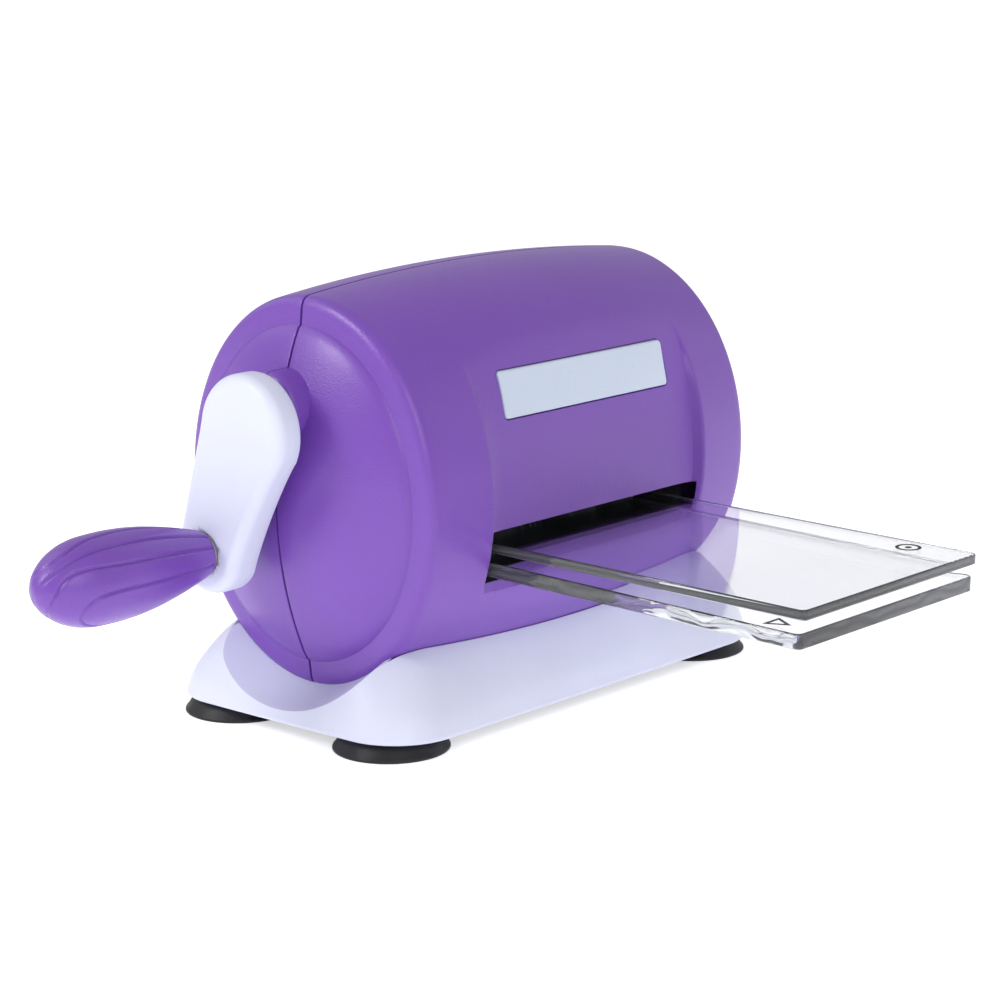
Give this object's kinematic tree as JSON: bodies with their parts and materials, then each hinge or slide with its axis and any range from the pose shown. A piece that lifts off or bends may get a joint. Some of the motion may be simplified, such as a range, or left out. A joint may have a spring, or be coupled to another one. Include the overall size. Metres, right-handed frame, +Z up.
{
  "type": "die cutting machine",
  "caption": "Table-top craft die cutting machine: a side crank turns geared pressure rollers that pull clear cutting plates through a slot in a barrel-shaped housing on suction feet.",
  "frame": {"origin": "on the table, under the centre of the whole machine's box, with the crank grip and the pulled-out plates included", "axes": "+X along the barrel from the crank end to the closed end, -Y the side where the plates come out, +Z up"},
  "size_m": [0.224, 0.1857, 0.1186],
  "materials": {
    "purple_plastic": "satin, fine moulded texture",
    "white_plastic": "satin white with a cool tint",
    "label_plastic": "smooth pale grey-blue",
    "dark_plastic": "black moulded plastic",
    "foot_rubber": "black rubber",
    "frame_steel": "zinc plated sheet",
    "bright_steel": "ground steel",
    "screw_steel": "plated screws",
    "bush_plastic": "natural nylon",
    "gear_plastic": "filled nylon",
    "clear_plastic": "clear polished acrylic"
  },
  "bodies": {
    "casing": {"front_housing": "purple_plastic", "rear_housing": "purple_plastic", "name_plate": "label_plastic", "housing_screws": "screw_steel", "front_feed_guide": "dark_plastic", "rear_feed_guide": "dark_plastic", "crank_collar": "purple_plastic", "base_shell": "white_plastic", "base_cover": "dark_plastic", "base_cover_screws": "screw_steel", "front_left_suction_foot": "foot_rubber", "front_right_suction_foot": "foot_rubber", "rear_left_suction_foot": "foot_rubber", "rear_right_suction_foot": "foot_rubber", "left_side_frame": "frame_steel", "right_side_frame": "frame_steel", "upper_front_tie_rod": "frame_steel", "upper_rear_tie_rod": "frame_steel", "lower_front_tie_rod": "frame_steel", "lower_rear_tie_rod": "frame_steel", "tie_rod_screws": "screw_steel", "frame_screws": "screw_steel", "upper_left_bush": "bush_plastic", "upper_right_bush": "bush_plastic", "lower_left_bush": "bush_plastic", "lower_right_bush": "bush_plastic", "inner_crank_bush": "bush_plastic", "outer_crank_bush": "bush_plastic"},
    "crank": {"crank_arm": "white_plastic", "crank_shaft": "bright_steel", "crank_shaft_ring": "bright_steel", "drive_pinion": "gear_plastic", "grip_axle": "bright_steel"},
    "grip": {"grip_front_half": "purple_plastic", "grip_rear_half": "purple_plastic", "grip_bush": "bush_plastic"},
    "upper_roller_set": {"upper_roller": "bright_steel", "upper_roller_gear": "gear_plastic", "upper_roller_rings": "bright_steel"},
    "lower_roller_set": {"lower_roller": "bright_steel", "lower_roller_gear": "gear_plastic", "lower_roller_rings": "bright_steel"},
    "upper_plate_set": {"upper_plate": "clear_plastic"},
    "lower_plate_set": {"lower_plate": "clear_plastic"}
  },
  "joints": [
    {"name": "crank_turn", "type": "hinge", "parent": "casing", "child": "crank", "pos_m": [-0.04235, 0.04735, 0.0876], "axis": [-1, 0, 0], "range_deg": [-92, 1166]},
    {"name": "grip_spin", "type": "hinge", "parent": "crank", "child": "grip", "pos_m": [-0.06635, 0.05975, 0.0503], "axis": [-1, 0, 0], "continuous": true},
    {"name": "upper_roller_turn", "type": "hinge", "parent": "casing", "child": "upper_roller_set", "pos_m": [0.03365, 0.04735, 0.06323], "axis": [1, 0, 0], "continuous": true},
    {"name": "lower_roller_turn", "type": "hinge", "parent": "casing", "child": "lower_roller_set", "pos_m": [0.03365, 0.04735, 0.03322], "axis": [1, 0, 0], "continuous": true},
    {"name": "upper_plate_feed", "type": "slide", "parent": "casing", "child": "upper_plate_set", "axis": [0, 0.9998, 0.0187], "range_m": [-0.011, 0.139]},
    {"name": "lower_plate_feed", "type": "slide", "parent": "casing", "child": "lower_plate_set", "axis": [0, 0.9996, 0.0279], "range_m": [-0.011, 0.139]}
  ],
  "couplings": [
    {"joint": "upper_roller_turn", "follows": "crank_turn", "ratio": 0.625},
    {"joint": "lower_roller_turn", "follows": "crank_turn", "ratio": -0.625},
    {"joint": "upper_plate_feed", "follows": "crank_turn", "m_per_rad": 0.0068281},
    {"joint": "lower_plate_feed", "follows": "crank_turn", "m_per_rad": 0.0068281}
  ]
}
